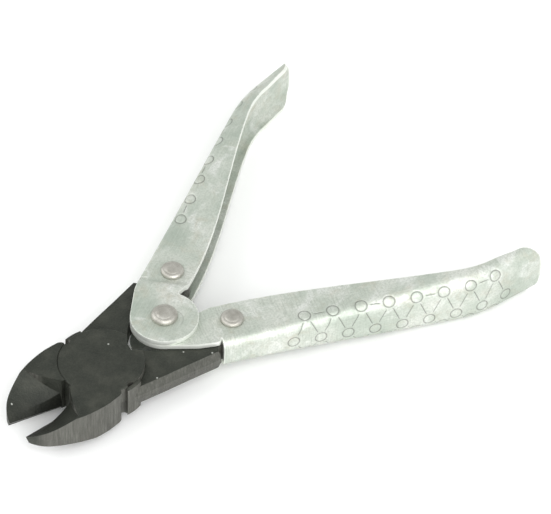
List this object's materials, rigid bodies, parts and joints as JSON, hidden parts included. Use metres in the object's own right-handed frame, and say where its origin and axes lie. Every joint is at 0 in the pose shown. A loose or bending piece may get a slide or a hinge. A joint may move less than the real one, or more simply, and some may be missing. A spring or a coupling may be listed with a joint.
{
  "type": "compound diagonal cutting plier",
  "caption": "Compound-lever diagonal cutting plier: black forged lap-joint jaws driven by pressed zinc-plated channel handles through a rivet linkage.",
  "frame": {"origin": "on the jaw pivot axis, in the flat rear face of the forged head", "axes": "+X along the tool's centre line from the jaw pivot towards the handles, +Y towards the upper handle, +Z out of the front face of the head"},
  "size_m": [0.1517, 0.1066, 0.0174],
  "materials": {
    "forged_black": "black oxide, ground faces",
    "jaw_rivet_steel": "ground flush and blackened",
    "zinc_plate": "bright zinc plate",
    "rivet_steel": "satin",
    "spacer_steel": "plain turned"
  },
  "bodies": {
    "upper_handle": {"upper_handle": "zinc_plate", "handle_pivot_rivet": "rivet_steel", "handle_spacer": "spacer_steel", "upper_tail_rivet": "rivet_steel"},
    "lower_handle": {"lower_handle": "zinc_plate", "lower_tail_rivet": "rivet_steel"},
    "front_jaw": {"front_jaw": "forged_black", "jaw_rivet": "jaw_rivet_steel"},
    "rear_jaw": {"rear_jaw": "forged_black"}
  },
  "joints": [
    {"name": "handle_pivot", "type": "hinge", "parent": "upper_handle", "child": "lower_handle", "pos_m": [0.02367, 0, 0.0055], "axis": [0, 0, 1], "range_deg": [0, 30.27]},
    {"name": "upper_tail_pivot", "type": "hinge", "parent": "upper_handle", "child": "front_jaw", "pos_m": [0.03801, 0.01246, 0.0055], "axis": [0, 0, 1], "range_deg": [0, 8.95]},
    {"name": "jaw_pivot", "type": "hinge", "parent": "front_jaw", "child": "rear_jaw", "pos_m": [0, 0, 0.0055], "axis": [0, 0, 1], "range_deg": [0, 12.41]}
  ],
  "couplings": [
    {"joint": "upper_tail_pivot", "follows": "handle_pivot", "ratio": 0.29521},
    {"joint": "jaw_pivot", "follows": "handle_pivot", "ratio": 0.40959}
  ]
}
